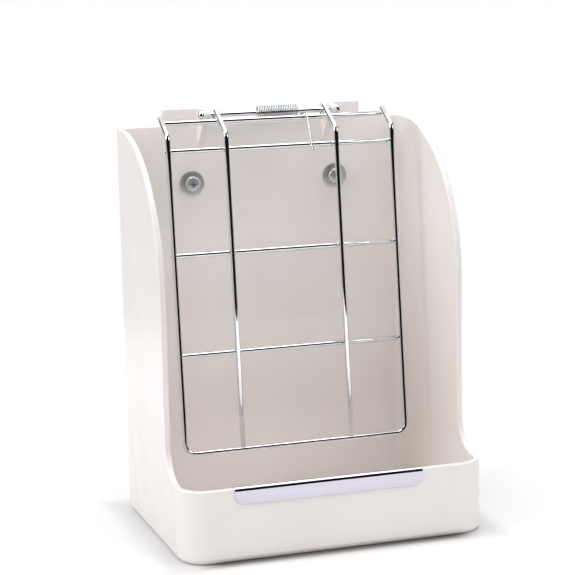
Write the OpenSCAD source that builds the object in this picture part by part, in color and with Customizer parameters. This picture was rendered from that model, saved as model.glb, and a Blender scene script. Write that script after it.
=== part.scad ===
// Feeder box for small pets.
// A moulded plastic box with a low front lip, a sprung wire grid that hangs from an axle
// between two ears on the rear wall, and two bolts with wing nuts that clamp it to a cage.
// Millimetres. X runs to the right, the front faces -Y, Z is up.
// The origin is on the underside, in the middle of the box.

/* [Body] */
// Width of the box from side to side
body_w = 180; // [150:1:240]
// Depth of the box from its front face to its rear face
body_d = 130; // [115:1:180]
// Height of the side walls and of the rear wall
side_h = 229.5; // [200:0.5:290]
// Height of the front lip
lip_h = 42; // [30:1:60]
// Distance from the front face back to the upright edge of the side walls
lip_reach = 36; // [30:1:50]
// Thickness of the walls and of the floor
wall = 3.5; // [2:0.1:4]
// Plan radius of the two front corners, outside
front_corner_r = 16; // [12:1:30]
// Plan radius of the two rear corners, outside
rear_corner_r = 7; // [6:0.5:12]
// Radius of the outer edge round the underside
base_edge_r = 4; // [2:0.5:5.5]
// Radius of the curve that joins a side wall's upright edge to the lip
flare_r = 20; // [10:1:28]
// Depth of the curve at the top of a side wall
side_arc_d = 84; // [50:1:90]
// Height of the curve at the top of a side wall
side_arc_h = 84.5; // [72:0.5:100]
// How much smaller the radius of that curve's upper arc is than its depth
side_arc_margin = 16; // [12:0.5:24]

/* [Ears and lugs] */
// Width of each ear that stands above the rear wall
ear_w = 24.5; // [18:0.5:34]
// Radius of an ear's two top corners
ear_corner_r = 1.5; // [0.5:0.5:4]
// Clear distance between the two lugs that carry the axle
lug_gap = 74.2; // [60:0.2:90]
// Thickness of a lug
lug_t = 4; // [3:0.5:6]
// Radius of a lug's round nose
lug_nose_r = 3.3; // [3:0.1:4.5]
// How far a lug's web reaches down the wall below the axle
lug_drop = 22; // [15:1:30]

/* [Axle] */
// Diameter of the axle rod
axle_d = 3; // [2.5:0.1:3.6]
// Distance from the inner face of the rear wall to the axle's centre
axle_standoff = 14.5; // [13:0.5:20]
// Height of the axle's centre above the top of the rear wall
axle_rise = 6.5; // [6:0.5:10]
// Radial clearance of the rod in the lugs and of the wire loops on the rod
axle_clear = 0.08; // [0.05:0.01:0.1]
// Diameter of an end cap
cap_d = 5.6; // [5.2:0.1:8]
// Length of an end cap
cap_l = 2.6; // [2:0.1:4]
// Diameter of the step at an end cap's nose
cap_nose_d = 4.2; // [3:0.1:5]
// Length of that step
cap_nose_l = 0.7; // [0.3:0.1:1]
// Depth of the blind hole in an end cap
cap_bite = 1.8; // [1:0.1:1.9]

/* [Grid] */
// Diameter of the wire
wire_d = 3; // [2.4:0.1:3.4]
// Distance between the outer wires and the inside of the side walls
grid_side_gap = 16.5; // [10:0.5:25]
// Free distance between a lug and the upright wire beside it
upright_gap = 2; // [1:0.5:6]
// How far the bend of the grid stands in front of the axle
bend_reach = 21.5; // [20:0.5:26]
// How far the bend of the grid hangs below the axle
bend_drop = 9; // [8:0.5:12]
// Radius of that bend, at the middle of the wire
bend_r = 5; // [4:0.5:7]
// Lean of the grid, its bottom towards the front
grid_tilt = 6; // [2:0.5:8]
// Height of the bottom wire's centre above the front lip
bottom_wire_rise = 2.1; // [2:0.1:20]
// Radius of the bottom corners, at the middle of the wire
grid_corner_r = 6; // [4:0.5:12]
// Distance from the bend up to the hinge crossbar
hinge_bar_run = 16; // [14:0.5:16.5]
// How far the outer wires run on past the hinge crossbar
wire_end_run = 1.8; // [1.6:0.1:2.2]
// Distance from the bend down to the upper crossbar
upper_bar_drop = 9; // [8:0.2:14]
// Distance from the upper crossbar to the middle crossbar
upper_row_h = 60; // [40:1:62]
// Distance from the middle crossbar to the lower crossbar
middle_row_h = 58; // [40:1:60]
// How deep the crossing wires are welded into each other
weld_sink = 0.2; // [0.1:0.05:0.4]
// Angle over which an upright wire wraps round the axle
loop_wrap = 260; // [200:5:265]

/* [Spring] */
// Diameter of the spring wire
spring_wire = 1; // [0.8:0.05:1.2]
// Free gap between neighbouring turns
spring_gap = 0.48; // [0.45:0.01:0.8]
// Radius of the coil at the middle of its wire
coil_r = 3.5; // [3.2:0.1:3.8]
// Number of full turns
coil_turns = 17; // [8:1:20]
// Sideways place of the coil's middle
coil_x = 4.6; // [-8:0.2:8]
// Sideways step from the coil to its moving leg
leg_step = 3.3; // [1.5:0.1:6]
// Sideways lean of the moving leg, back towards the coil
leg_lean = 2.5; // [0:0.1:5]
// How far the moving leg runs on past the upper crossbar
leg_tail = 6; // [3:0.5:10]
// Distance from the hinge crossbar back to the moving leg's bend
leg_head = 2.5; // [2:0.1:3.5]
// Radius of the moving leg's bend
leg_bend_r = 1.6; // [1.2:0.1:2]
// Gap between a leg and what it leans on
leg_seat_gap = 0.3; // [0.2:0.05:0.4]

/* [Front guard] */
// Length of the metal strip on the lip
guard_l = 110.5; // [60:0.5:120]
// Sideways place of the strip's middle
guard_x = -5.6; // [-8:0.1:8]
// Height of the strip's outer leaf
guard_front_h = 10; // [6:0.1:14]
// Height of the strip's inner leaf
guard_rear_h = 6.5; // [4:0.1:12]
// Thickness of the sheet
guard_t = 0.6; // [0.4:0.1:1]
// Clearance between the strip and the lip
guard_clear = 0.1; // [0.05:0.05:0.2]
// Radius of the outer leaf's lower corners
guard_corner_r = 6; // [1:0.5:7]

/* [Mounting bolts] */
// Distance from one bolt's axis to the other's
bolt_pair_w = 90; // [50:1:120]
// Distance of the bolts below the top of the rear wall
bolt_drop = 35; // [30:1:70]
// Thread diameter of a bolt
bolt_d = 5; // [4:1:6]
// Length of a bolt under its head
bolt_l = 25; // [24:1:40]
// Diameter of a bolt's head
bolt_head_d = 9.6; // [9:0.2:12]
// Height of a bolt's head
bolt_head_h = 3.6; // [3:0.2:5]
// Diameter of the flat top of that head
bolt_crown_d = 6.8; // [4:0.2:8]
// Height of the head's sloping crown
bolt_crown_h = 1.8; // [0.6:0.1:2.4]
// Radial clearance of a bolt in the wall and in the washers
bolt_clear = 0.2; // [0.1:0.05:0.4]
// Radial clearance of a wing nut on the thread
nut_clear = 0.05; // [0.02:0.01:0.1]
// Diameter of the washer under a bolt's head
head_washer_d = 15; // [13:0.5:20]
// Thickness of the washer under a bolt's head
head_washer_t = 1; // [0.8:0.1:2]
// Diameter of a clamp washer
clamp_washer_d = 24; // [18:0.5:32]
// Thickness of a clamp washer
clamp_washer_t = 1.6; // [1:0.1:3]
// Gap between stacked flat faces
face_gap = 0.1; // [0.05:0.05:0.2]
// Diameter of a wing nut's hub at the washer
nut_hub_d = 10; // [9:0.5:13]
// Diameter of a wing nut's hub at its free end
nut_top_d = 8; // [7.5:0.5:9]
// Height of a wing nut's hub
nut_hub_h = 6; // [5:0.5:8]
// Distance from a wing nut's axis to the middle of a wing's round tip
nut_wing_reach = 10; // [9:0.5:14]
// Radius of a wing's round tip
nut_wing_r = 4; // [3:0.5:5]
// Thickness of a wing
nut_wing_t = 1.8; // [1.2:0.1:3]
// Height of a wing's lower edge above the washer
nut_wing_lift = 1; // [0.5:0.1:2]

/* [Hidden] */
$fn = 64;

PLASTIC = "ivory";
STEEL = "silver";
BRIGHT = "gainsboro";

// Facets of each arc in the side outline
arc_steps = 14;
// A cut runs this far past the face that it opens
cut_over = 1;
// How far a ball at the end of a wire's turn stands proud of the wire
ball_swell = 0.03;

rear_y = body_d / 2;
front_y = -body_d / 2;
wall_y = rear_y - wall;
inside_x = body_w / 2 - wall;
panel_y = front_y + lip_reach;

axle_y = wall_y - axle_standoff;
axle_z = side_h + axle_rise;
lug_x = lug_gap / 2;
ear_top = axle_z + lug_nose_r;

// Places in the YZ plane from here on are counted from the axle
function on_circle(r, a) = r * [cos(a), sin(a)];
function tangent_angle(p, r, side) = atan2(p[1], p[0]) + side * acos(r / norm(p));
function unit(v) = v / norm(v);

loop_r = axle_d / 2 + axle_clear + wire_d / 2;
bend_at = [-bend_reach, -bend_drop];
loop_start = tangent_angle(bend_at, loop_r, -1) + 360;
hanger_slope = loop_start - 90;
hanger_l = sqrt(norm(bend_at) * norm(bend_at) - loop_r * loop_r);
bend_turn = 90 - grid_tilt - hanger_slope;
bend_run = bend_r * tan(bend_turn / 2);
bottom_z = lip_h + bottom_wire_rise;
grid_l = (axle_z - bend_drop - bottom_z) / cos(grid_tilt);
outer_x = inside_x - grid_side_gap - wire_d / 2;
upright_x = lug_x - upright_gap - wire_d / 2;
bar_behind = wire_d - weld_sink;
middle_bar_drop = upper_bar_drop + upper_row_h;
lower_bar_drop = middle_bar_drop + middle_row_h;

up_hanger = [cos(hanger_slope), sin(hanger_slope)];
down_grid = [-sin(grid_tilt), -cos(grid_tilt)];
hinge_bar_at = bend_at + hinge_bar_run * up_hanger + bar_behind * [up_hanger[1], -up_hanger[0]];
upper_bar_at = bend_at + upper_bar_drop * down_grid + bar_behind * [-down_grid[1], down_grid[0]];

nut_y = rear_y + face_gap + clamp_washer_t + face_gap;
bolt_x = bolt_pair_w / 2;
bolt_z = side_h - bolt_drop;

feeder_body();
front_guard_strip();
axle_rod();
axle_cap(-1);  // axle_cap_left
axle_cap(1);  // axle_cap_right
torsion_spring();
grid_outer_wire();
grid_upright(-upright_x);  // grid_upright_left
grid_upright(upright_x);  // grid_upright_right
hinge_crossbar();
grid_crossbar(upper_bar_drop);  // upper_crossbar
grid_crossbar(middle_bar_drop);  // middle_crossbar
grid_crossbar(lower_bar_drop);  // lower_crossbar
mounting_bolt(-bolt_x);  // mounting_bolt_left
mounting_bolt(bolt_x);  // mounting_bolt_right
head_washer(-bolt_x);  // head_washer_left
head_washer(bolt_x);  // head_washer_right
clamp_washer(-bolt_x);  // clamp_washer_left
clamp_washer(bolt_x);  // clamp_washer_right
wing_nut(-bolt_x);  // wing_nut_left
wing_nut(bolt_x);  // wing_nut_right

// The outline of a side wall, as [y, z] points, run on behind the box
upper_arc_r = side_arc_d - side_arc_margin;
front_arc_r = (pow(side_arc_d, 2) + pow(side_arc_h - upper_arc_r, 2) - pow(upper_arc_r, 2))
    / (2 * side_arc_margin);
upper_arc_at = [panel_y + side_arc_d, side_h - upper_arc_r];
front_arc_at = [panel_y + front_arc_r, side_h - side_arc_h];
arc_meet = atan2(upper_arc_at[1] - front_arc_at[1], upper_arc_at[0] - front_arc_at[0]);
function arc(c, r, a, b) = [for (i = [0:arc_steps]) c + on_circle(r, a + (b - a) * i / arc_steps)];
side_outline = concat(
    [[rear_y + side_arc_d, side_h]],
    arc(upper_arc_at, upper_arc_r, 90, arc_meet),
    arc(front_arc_at, front_arc_r, arc_meet, 180),
    arc([panel_y - flare_r, lip_h + flare_r], flare_r, 0, -90),
    [[front_y, lip_h], [front_y, 0], [rear_y + side_arc_d, 0]]
);

// Lays a flat shape of [y, z] points across X, from x to x + t
module across(x, t) {
    translate([x, 0, 0]) rotate([90, 0, 90]) linear_extrude(t) children();
}

// Section through an upright wall of a solid box, its outer face at r and its bottom edge round
module edge_section(r, h, edge) {
    intersection() {
        square([r, h]);
        union() {
            square([r - edge, h]);
            translate([0, edge]) square([r, h]);
            translate([r - edge, edge]) circle(edge);
        }
    }
}

module corner_post(x, y, r, h, edge) {
    translate([x, y, 0]) rotate_extrude() edge_section(r, h, edge);
}

// Solid box with round upright corners and a round bottom edge, set in by inset all round
module box_solid(inset, h, edge) {
    rf = front_corner_r - inset;
    rr = rear_corner_r - inset;
    xf = body_w / 2 - front_corner_r;
    xr = body_w / 2 - rear_corner_r;
    yf = front_y + front_corner_r;
    yr = rear_y - rear_corner_r;
    for (s = [-1, 1]) {
        corner_post(s * xf, yf, rf, h, edge);
        corner_post(s * xr, yr, rr, h, edge);
    }
    translate([-xf, yf, 0]) rotate([90, 0, 90]) linear_extrude(2 * xf) mirror([1, 0])
        edge_section(rf, h, edge);
    translate([-xr, yr, 0]) rotate([90, 0, 90]) linear_extrude(2 * xr) edge_section(rr, h, edge);
    translate([xf, yr, 0]) rotate([90, 0, 0]) linear_extrude(yr - yf) edge_section(rf, h, edge);
    translate([-xf, yf, 0]) rotate([90, 0, 180]) linear_extrude(yr - yf) edge_section(rf, h, edge);
    translate([-xf, yf, 0]) cube([2 * xf, yr - yf, h]);
}

// One ear of the rear wall with the lug that carries the axle, on the right-hand side
module ear_with_lug() {
    translate([0, rear_y, 0]) rotate([90, 0, 0]) linear_extrude(wall) {
        translate([lug_x, side_h - wall]) square([ear_w, ear_top - ear_corner_r - side_h + wall]);
        translate([lug_x + ear_corner_r, side_h]) square([ear_w - 2 * ear_corner_r, ear_top - side_h]);
        for (x = [lug_x + ear_corner_r, lug_x + ear_w - ear_corner_r])
            translate([x, ear_top - ear_corner_r]) circle(ear_corner_r);
    }
    root = [axle_standoff + wall / 2, -lug_drop];
    across(lug_x, lug_t) translate([axle_y, axle_z]) {
        circle(lug_nose_r);
        polygon([
            [0, lug_nose_r],
            [root[0], lug_nose_r],
            root,
            on_circle(lug_nose_r, tangent_angle(root, lug_nose_r, -1)),
            [0, 0]
        ]);
    }
}

module feeder_body() {
    color(PLASTIC) difference() {
        union() {
            difference() {
                intersection() {
                    box_solid(0, side_h, base_edge_r);
                    across(-body_w, 2 * body_w) polygon(side_outline);
                }
                translate([0, 0, wall]) box_solid(wall, side_h, base_edge_r - wall / 2);
            }
            ear_with_lug();
            mirror([1, 0, 0]) ear_with_lug();
        }
        across(-body_w / 2, body_w) translate([axle_y, axle_z]) circle(axle_d / 2 + axle_clear);
        for (x = [-bolt_x, bolt_x])
            along_y(x, wall_y - cut_over) cylinder(r = bolt_d / 2 + bolt_clear, h = wall + 2 * cut_over);
    }
}

// The stainless strip folded over the lip
module front_guard_strip() {
    top = lip_h + guard_clear + guard_t;
    face = front_y - guard_clear;
    back = front_y + wall + guard_clear;
    corner_r = min(guard_corner_r, guard_front_h - guard_t);
    color(BRIGHT) intersection() {
        across(guard_x - guard_l / 2, guard_l) {
            translate([face - guard_t, top - guard_front_h]) square([guard_t, guard_front_h]);
            translate([face - guard_t, top - guard_t]) square([back - face + 2 * guard_t, guard_t]);
            translate([back, top - guard_rear_h]) square([guard_t, guard_rear_h]);
        }
        translate([guard_x, back + guard_t + cut_over, 0]) rotate([90, 0, 0])
            linear_extrude(back - face + 2 * (guard_t + cut_over)) {
                for (s = [-1, 1])
                    translate([s * (guard_l / 2 - corner_r), top - guard_front_h + corner_r])
                        circle(corner_r);
                translate([-guard_l / 2 + corner_r, top - guard_front_h])
                    square([guard_l - 2 * corner_r, guard_front_h]);
                translate([-guard_l / 2, top - guard_front_h + corner_r])
                    square([guard_l, guard_front_h - corner_r]);
            }
    }
}

module axle_rod() {
    half = lug_x + lug_t + cap_bite;
    color(BRIGHT) translate([-half, axle_y, axle_z]) rotate([0, 90, 0]) cylinder(d = axle_d, h = 2 * half);
}

// A push-on cap, on the side given by s
module axle_cap(s) {
    color(BRIGHT) translate([s * (lug_x + lug_t + face_gap), axle_y, axle_z]) rotate([0, s * 90, 0])
        difference() {
            union() {
                cylinder(d = cap_d, h = cap_l - cap_nose_l);
                cylinder(d = cap_nose_d, h = cap_l);
            }
            translate([0, 0, -cut_over]) cylinder(r = axle_d / 2 + axle_clear, h = cap_bite + cut_over);
        }
}

// Frames whose origin is the grid's bend: Z up the grid or Y up the hanger, Y to the rear
module grid_plane() {
    translate([0, axle_y, axle_z]) translate([0, bend_at[0], bend_at[1]])
        rotate([-grid_tilt, 0, 0]) children();
}
module hanger_plane() {
    translate([0, axle_y, axle_z]) translate([0, bend_at[0], bend_at[1]])
        rotate([hanger_slope, 0, 0]) children();
}

// A turn of wire in the YZ plane at x, round the point [y, z], from angle a to angle b
module wire_turn(x, at, r, a, b) {
    translate([x, at[0], at[1]]) rotate([90, 0, 90]) rotate([0, 0, a])
        rotate_extrude(angle = b - a) translate([r, 0]) circle(d = wire_d);
}

// A ball that joins a straight run and a turn of the wire, a trace wider than the wire.
// Its poles lie on the wire's axis, given as the turn that brings Z onto that axis.
module wire_ball(x, y, z, onto = [0, 0, 0]) {
    translate([x, y, z]) rotate(onto) sphere(wire_d / 2 + ball_swell);
}

// The bent top of a wire at x, with its hanger run out to length l from the bend's corner
module hanger(x, l) {
    grid_plane() wire_turn(x, [bend_r, -bend_run], bend_r, 180 - bend_turn, 180);
    grid_plane() wire_ball(x, 0, -bend_run);
    hanger_plane() wire_ball(x, bend_run, 0, [90, 0, 0]);
    hanger_plane() translate([x, bend_run, 0]) rotate([-90, 0, 0]) cylinder(d = wire_d, h = l - bend_run);
}

module grid_outer_wire() {
    leg_end = grid_l - grid_corner_r;
    bar_x = outer_x - grid_corner_r;
    color(STEEL) {
        for (s = [-1, 1]) {
            hanger(s * outer_x, hinge_bar_run + wire_end_run);
            grid_plane() wire_ball(s * outer_x, 0, -leg_end);
            grid_plane() wire_ball(s * bar_x, 0, -grid_l, [0, 90, 0]);
            grid_plane() translate([s * outer_x, 0, -leg_end]) cylinder(d = wire_d, h = leg_end - bend_run);
            grid_plane() translate([s * bar_x, 0, -leg_end]) rotate([90, 0, 0])
                rotate([0, 0, s > 0 ? 270 : 180]) rotate_extrude(angle = 90)
                    translate([grid_corner_r, 0]) circle(d = wire_d);
        }
        grid_plane() translate([-bar_x, 0, -grid_l]) rotate([0, 90, 0]) cylinder(d = wire_d, h = 2 * bar_x);
    }
}

// A middle wire: it hangs on the axle by a loop and is welded to the bottom wire
module grid_upright(x) {
    foot = grid_l - wire_d / 2 + weld_sink;
    color(STEEL) {
        translate([0, axle_y, axle_z]) wire_turn(x, [0, 0], loop_r, loop_start - loop_wrap, loop_start);
        hanger(x, hanger_l);
        hanger_plane() wire_ball(x, hanger_l, 0, [90, 0, 0]);
        grid_plane() translate([x, 0, -foot]) cylinder(d = wire_d, h = foot - bend_run);
    }
}

module crossbar() {
    translate([-outer_x, 0, 0]) rotate([0, 90, 0]) cylinder(d = wire_d, h = 2 * outer_x);
}
module hinge_crossbar() {
    color(STEEL) hanger_plane() translate([0, hinge_bar_run, -bar_behind]) crossbar();
}
module grid_crossbar(drop) {
    color(STEEL) grid_plane() translate([0, bar_behind, -drop]) crossbar();
}

// The spring's route, as [x, y, z] points about the axle
spring_r = spring_wire / 2;
coil_pitch = spring_wire + spring_gap;
leg_down = unit(upper_bar_at - hinge_bar_at);
leg_out = [leg_down[1], -leg_down[0]] * (wire_d / 2 + spring_r + leg_seat_gap);
leg_corner = hinge_bar_at + leg_out - leg_head * leg_down;
leg_tip = upper_bar_at + leg_out + leg_tail * leg_down;
rest_tip = [axle_standoff + wall - spring_r, spring_r + leg_seat_gap - axle_rise];
coil_from = tangent_angle(rest_tip, coil_r, -1);
coil_to = tangent_angle(leg_corner, coil_r, 1);
coil_sweep = 360 * coil_turns + (coil_from - coil_to + 720) % 360;
coil_l = coil_pitch * coil_sweep / 360;
coil_x0 = coil_x - coil_l / 2;
rings_per_turn = 8;
spring_sides = 6;
coil_rings = ceil(coil_sweep / 360 * rings_per_turn);
function at_x(x, p) = [x, p[0], p[1]];
corner_3d = at_x(coil_x0 + coil_l + leg_step, leg_corner);
tip_3d = at_x(coil_x0 + coil_l + leg_step - leg_lean, leg_tip);
coil_end = at_x(coil_x0 + coil_l, on_circle(coil_r, coil_to));

// Points of a round corner at p, between the points a and b, with radius r
function round_corner(a, p, b, r, steps) =
    let (u = unit(a - p), v = unit(b - p), half = acos(u * v) / 2)
    let (run = r / tan(half), c = p + unit(u + v) * r / sin(half))
    let (e = unit(p + run * u - c), f = unit(p + run * v - c), turn = 180 - 2 * half)
    let (g = unit(f - e * (e * f)))
    [for (i = [0:steps]) c + r * (cos(turn * i / steps) * e + sin(turn * i / steps) * g)];
corner_steps = 5;

spring_path = concat(
    [at_x(coil_x0, rest_tip), at_x(coil_x0, rest_tip + spring_wire * unit(on_circle(coil_r, coil_from) - rest_tip))],
    [for (i = [0:coil_rings])
        at_x(coil_x0 + coil_l * i / coil_rings, on_circle(coil_r, coil_from - coil_sweep * i / coil_rings))],
    round_corner(coil_end, corner_3d, tip_3d, leg_bend_r, corner_steps),
    [tip_3d - spring_wire * unit(tip_3d - corner_3d), tip_3d]
);

// Least distance between the wire's surface at two places half a turn or more apart
half_turn = rings_per_turn / 2;
function spring_least_gap(p) =
    min([for (i = [0:len(p) - half_turn - 1])
        min([for (j = [i + half_turn:len(p) - 1]) norm(p[i] - p[j])])]) - spring_wire;
echo(spring_least_gap_mm = spring_least_gap(spring_path));

// A round wire swept along the points of p, closed at both ends
module swept_wire(p, r, sides) {
    n = len(p);
    function along(i) = unit(p[min(i + 1, n - 1)] - p[max(i - 1, 0)]);
    function side(i) = unit(cross(along(i), [1, 0, 0]));
    function ring(i) = [for (k = [0:sides - 1])
        p[i] + r * (cos(360 * k / sides) * side(i) + sin(360 * k / sides) * cross(along(i), side(i)))];
    points = [for (i = [0:n - 1]) each ring(i)];
    walls = [for (i = [0:n - 2], k = [0:sides - 1])
        let (a = i * sides + k, b = i * sides + (k + 1) % sides)
        each [[a, a + sides, b], [b, a + sides, b + sides]]];
    lids = [for (k = [1:sides - 2]) each [
        [0, k, k + 1],
        [(n - 1) * sides, (n - 1) * sides + k + 1, (n - 1) * sides + k]
    ]];
    polyhedron(points, concat(walls, lids));
}

module torsion_spring() {
    color(BRIGHT) translate([0, axle_y, axle_z]) swept_wire(spring_path, spring_r, spring_sides);
}

// Turns a bolt-like shape so that its Z runs to the rear, at x on the bolts' height
module along_y(x, y) {
    translate([x, y, bolt_z]) rotate([-90, 0, 0]) children();
}

module washer(d, t) {
    difference() {
        cylinder(d = d, h = t);
        translate([0, 0, -cut_over]) cylinder(r = bolt_d / 2 + bolt_clear, h = t + 2 * cut_over);
    }
}

module mounting_bolt(x) {
    seat = wall_y - head_washer_t;
    color(STEEL) along_y(x, seat) {
        cylinder(d = bolt_d, h = bolt_l);
        translate([0, 0, bolt_crown_h - bolt_head_h]) cylinder(d = bolt_head_d, h = bolt_head_h - bolt_crown_h);
        translate([0, 0, -bolt_head_h]) cylinder(d1 = bolt_crown_d, d2 = bolt_head_d, h = bolt_crown_h);
    }
}

module head_washer(x) {
    color(STEEL) along_y(x, wall_y - head_washer_t) washer(head_washer_d, head_washer_t);
}

module clamp_washer(x) {
    color(STEEL) along_y(x, rear_y + face_gap) washer(clamp_washer_d, clamp_washer_t);
}

// One wing, on the side +X: a round tip and a web that runs from it into the hub
module wing() {
    tip = [nut_wing_reach, nut_wing_lift + 2 * nut_wing_r];
    low = [nut_hub_d / 4, nut_wing_lift] - tip;
    high = [nut_hub_d / 4, nut_hub_h] - tip;
    translate(tip) {
        circle(nut_wing_r);
        polygon([
            low,
            on_circle(nut_wing_r, tangent_angle(low, nut_wing_r, 1)),
            on_circle(nut_wing_r, tangent_angle(high, nut_wing_r, -1)),
            high
        ]);
    }
}

module wing_nut(x) {
    bore_l = 2 * cut_over + nut_wing_lift + 3 * nut_wing_r;
    color(STEEL) along_y(x, nut_y) difference() {
        union() {
            cylinder(d1 = nut_hub_d, d2 = nut_top_d, h = nut_hub_h);
            rotate([90, 0, 0]) translate([0, 0, -nut_wing_t / 2]) linear_extrude(nut_wing_t) {
                wing();
                mirror([1, 0]) wing();
            }
        }
        translate([0, 0, -cut_over]) cylinder(r = bolt_d / 2 + nut_clear, h = bore_l);
    }
}
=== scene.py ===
"""Looks of a feeder box for small pets: a moulded box with a sprung wire grid, a folded guard strip
and two clamps."""

import math

import bmesh
import bpy
from mathutils import Matrix, Vector


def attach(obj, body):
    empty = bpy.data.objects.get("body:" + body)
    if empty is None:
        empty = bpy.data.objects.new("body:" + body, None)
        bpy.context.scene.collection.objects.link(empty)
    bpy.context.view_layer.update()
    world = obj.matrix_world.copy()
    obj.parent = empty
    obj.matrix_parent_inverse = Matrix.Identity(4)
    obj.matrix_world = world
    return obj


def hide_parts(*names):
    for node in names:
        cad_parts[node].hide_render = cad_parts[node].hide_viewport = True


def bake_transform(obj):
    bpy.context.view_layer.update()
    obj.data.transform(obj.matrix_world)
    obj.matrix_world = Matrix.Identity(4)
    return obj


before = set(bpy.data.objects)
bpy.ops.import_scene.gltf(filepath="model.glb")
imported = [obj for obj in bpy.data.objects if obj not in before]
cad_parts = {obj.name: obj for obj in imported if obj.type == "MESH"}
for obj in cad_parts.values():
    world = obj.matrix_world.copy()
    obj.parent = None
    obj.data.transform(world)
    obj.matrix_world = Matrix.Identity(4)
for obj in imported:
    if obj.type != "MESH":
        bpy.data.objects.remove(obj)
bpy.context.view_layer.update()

# Shapes are made in millimetres and brought to metres when they become pieces
MM = 0.001
X, Y, Z = Vector((1, 0, 0)), Vector((0, 1, 0)), Vector((0, 0, 1))

# The box
WALL = 3.5
HALF_WIDTH = 90
FRONT_Y, REAR_Y = -65, 65
LIP_TOP, SIDE_TOP = 42, 229.5
PANEL_Y = -29
FRONT_CORNER_R, REAR_CORNER_R, BASE_EDGE_R = 16, 7, 4
FLARE_R = 20
SIDE_ARC_D, SIDE_ARC_H, UPPER_ARC_R = 84, 84.5, 68
EAR_NEAR_X, EAR_FAR_X, EAR_CORNER_R, EAR_FILLET_R = 37.1, 61.6, 1.5, 0.9
RIM_ROUND = 1.3

# The axle and what hangs on it
AXLE = Vector((0, 47, 236))
AXLE_R, AXLE_CHAMFER = 1.5, 0.35
AXLE_HALF = 42.9
LUG_X, LUG_T, LUG_NOSE_R, LUG_DROP, LUG_ROUND = 37.1, 4, 3.3, 22, 0.6
CAP_X, CAP_L, CAP_R = 41.2, 2.6, 2.8
CAP_BITE, CAP_FOOT_H, CAP_WAIST, CAP_DOME_R = 1.8, 0.5, 0.25, 1.1

# The grid
WIRE_R, WIRE_SIDES, WIRE_ROUND = 1.5, 20, 0.25
DEGREES_PER_BEND_STEP = 9
OUTER_X, UPRIGHT_X = 68.5, 33.6
BEND_REACH, BEND_DROP, BEND_R = 21.5, 9, 5
GRID_TILT = math.radians(6)
BOTTOM_Z = 44.1
CORNER_R = 6
LOOP_R, LOOP_CLEAR = 3.08, 0.08
LOOP_WRAP = math.radians(260)
HINGE_BAR_RUN, WIRE_END_RUN = 16, 1.8
BAR_DROPS = (9, 69, 127)
BAR_BEHIND = 2.8
WELD_SINK = 0.2
BEAD_R, BEAD_H = 1.9, 0.7

# The spring
SPRING_R, SPRING_SIDES, SPRING_ROUND = 0.5, 10, 0.15
RINGS_PER_TURN = 18
COIL_R, COIL_TURNS, COIL_PITCH, COIL_X = 3.5, 17, 1.48, 4.6
LEG_STEP, LEG_LEAN, LEG_TAIL, LEG_HEAD, LEG_BEND_R = 3.3, 2.5, 6, 2.5, 1.6
LEG_GAP = 0.15
REST_TIP = Vector((0, 17.5, -5.75))

# The guard strip
GUARD_X, GUARD_L, GUARD_T = -5.6, 110.5, 0.6
GUARD_FRONT_H, GUARD_REAR_H, GUARD_CORNER_R = 10, 6.5, 6
GUARD_GAP, GUARD_ROUND = 0.1, 0.24

# The clamps
BOLT_X, BOLT_Z = 45, 194.5
BOLT_R, BOLT_L, SHANK_SINK = 2.5, 25, 0.3
THREAD_PITCH, THREAD_DEPTH, THREAD_STEPS = 0.8, 0.45, 20
# How far along a turn the thread starts to rise, reaches its crest, leaves it and is down again
THREAD_RISE, THREAD_CREST, THREAD_FALL, THREAD_ROOT = 0.1, 0.38, 0.48, 0.76
HEAD_R, HEAD_H, HEAD_FOOT_R, HEAD_CROWN_R = 4.8, 3.6, 0.2, 2.2
RECESS_L, RECESS_W, RECESS_DEPTH, RECESS_TAPER = 4.6, 1.1, 1.8, 0.6
HEAD_WASHER_R, HEAD_WASHER_T = 7.5, 1
CLAMP_WASHER_R, CLAMP_WASHER_T, CLAMP_GAP = 12, 1.6, 0.1
WASHER_HOLE_R, WASHER_ROUND = 2.7, 0.22
NUT_Y, NUT_HUB_R, NUT_TOP_R, NUT_HUB_H, NUT_FOOT_H = 66.8, 5, 4, 6, 1
WING_REACH, WING_TIP_R, WING_T, WING_LIFT, WING_ROUND = 10, 4, 1.8, 1, 0.5
THREAD_CLEAR = 0.05
CAST_GRAIN, CAST_SOFTENING = 0.25, 8

# The camera, fitted to the photograph
CAMERA_AT = Vector((-347.3, -1036.7, 335.2))
YAW, PITCH, ROLL = (math.radians(a) for a in (18.19, 10.2, -1.2))
LENS, SENSOR = 120.5, 36

# The room: what lights the box, and what its metal mirrors
WHITE, ROOM_DARK = "#ffffff", "#16171a"
AMBIENT = (0.36, 0.356, 0.374, 1)
DOORWAY, LINTEL = (0.12, -0.08), (0.9, 0.8)
GAPS = (((0.93, 0.3, 0.2), 1.0), ((-0.62, 0.76, 0.2), 1.0), ((-0.24, 0.96, 0.12), 0.18))
GAP_EDGE = (0.9, 0.97)
LAMP_TINT = (0.97, 0.98, 1)
LAMPS_AIM_AT = Vector((0, 0, 0.12))
# Each lamp's name, place and size in metres, power, and whether the metal mirrors it
LAMPS = (
    ("key", (-1.4, -0.1, 0.95), 0.9, 11, True),
    ("fill", (1.2, -0.9, 0.9), 0.8, 6, True),
    ("top", (0.1, 0, 1.35), 1.2, 9, True),
    ("front", (-0.65, -1.35, 0.9), 1.0, 4, False),
    ("rear", (0.5, 1.4, 0.8), 1.0, 3.5, False),
)

# The tabletop, its radius and drop in millimetres, the other places on it in metres
TABLE_R, TABLE_DROP = 620, 0.05
# The second tone is a painted shadow: the table's colour, darkened along the box's front edge
TABLE_TONE, PAINTED_SHADOW_TONE = "#e6e6e6", "#7d7771"
GLOW_REACH, GLOW = (0.12, 0.4), (0.18, 0.5)
GLOW_STARTS = (0.0, 0.02)
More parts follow.
